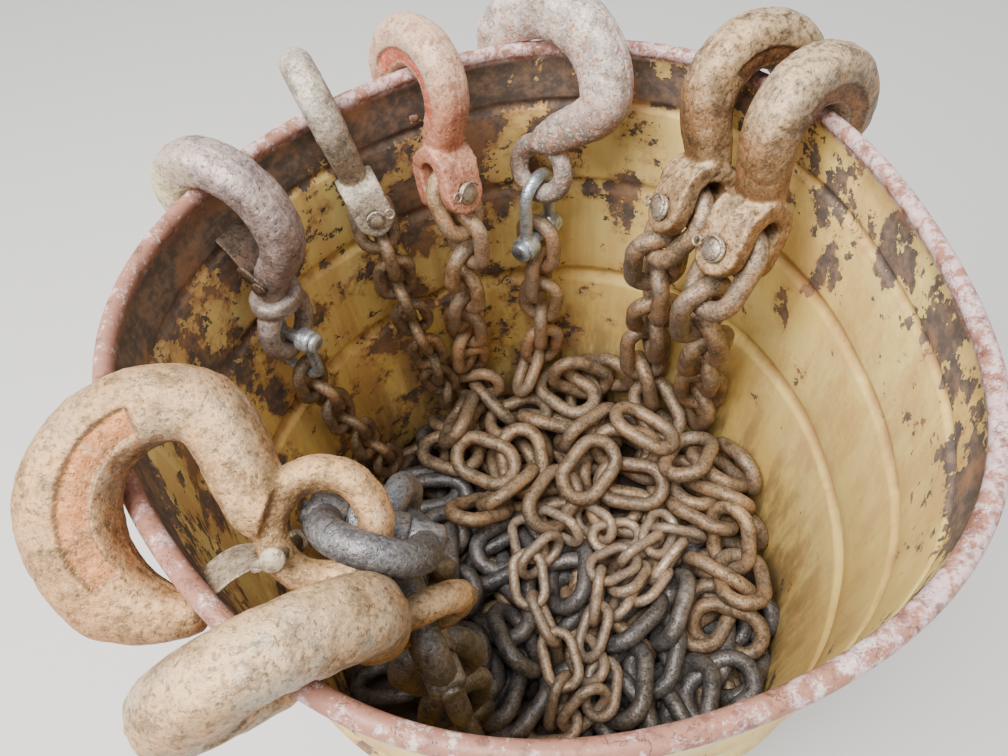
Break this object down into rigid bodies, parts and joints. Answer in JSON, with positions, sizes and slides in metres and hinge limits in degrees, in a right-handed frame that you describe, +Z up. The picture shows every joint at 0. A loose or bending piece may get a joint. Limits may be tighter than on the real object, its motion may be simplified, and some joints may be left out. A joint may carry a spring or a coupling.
{
  "type": "heap of lifting chain",
  "caption": "Heap of loose rusty steel lifting chain held in an open-top steel drum, with sling hooks hung over its rim and their chain legs running down into the heap.",
  "frame": {"origin": "centre of the drum's flush underside, on the surface it stands on", "axes": "+Z up along the drum's axis, -Y towards the side the picture is taken from, +X to the right in the picture"},
  "size_m": [0.6011, 0.63, 0.95],
  "materials": {
    "drum_paint": "worn gloss paint, rusty where bare",
    "buried_chain": "dark, dusty and rusty",
    "hook_tan": "dusty tan-grey forged steel",
    "hook_purple": "purple-brown forged steel, worn pale at the tip",
    "hook_grey": "pale grey forged steel, mottled",
    "hook_red": "worn red paint over grey steel",
    "hook_brown": "brown forged steel",
    "galvanised": "dull galvanised steel",
    "pin_steel": "worn bare steel",
    "rusty_chain": "rusty, dusty tan highlights",
    "small_chain": "brown with a dull shine",
    "dark_chain": "dark grey, rubbed on the edges"
  },
  "bodies": {
    "root": {"drum_shell": "drum_paint", "heap_core": "buried_chain", "hook_a": "hook_tan", "hook_b": "hook_tan", "hook_c": "hook_purple", "hook_d": "hook_grey", "hook_e": "hook_red", "hook_f": "hook_grey", "hook_g": "hook_brown", "hook_h": "hook_brown", "bail_c": "hook_purple", "shackle_c": "galvanised", "shackle_f": "galvanised", "pin_shackle_c": "galvanised", "pin_shackle_f": "galvanised", "pin_d": "pin_steel", "pin_e": "pin_steel", "pin_g": "pin_steel", "pin_h": "pin_steel", "chain_a": "dark_chain", "chain_b": "dark_chain", "chain_c": "rusty_chain", "chain_d": "rusty_chain", "chain_e": "rusty_chain", "chain_f": "rusty_chain", "chain_g": "rusty_chain", "chain_h": "rusty_chain", "rusty_01": "rusty_chain", "rusty_02": "rusty_chain", "rusty_03": "rusty_chain", "rusty_04": "rusty_chain", "rusty_05": "rusty_chain", "rusty_06": "rusty_chain", "rusty_07": "rusty_chain", "rusty_08": "rusty_chain", "rusty_09": "rusty_chain", "rusty_10": "rusty_chain", "rusty_11": "rusty_chain", "small_01": "small_chain", "small_02": "small_chain", "small_03": "small_chain", "small_04": "small_chain", "small_05": "small_chain", "dark_01": "dark_chain", "dark_02": "dark_chain", "dark_03": "dark_chain", "dark_04": "dark_chain", "dark_05": "dark_chain", "dark_06": "dark_chain", "dark_07": "dark_chain", "dark_08": "dark_chain", "dark_09": "dark_chain"}
  },
  "joints": []
}
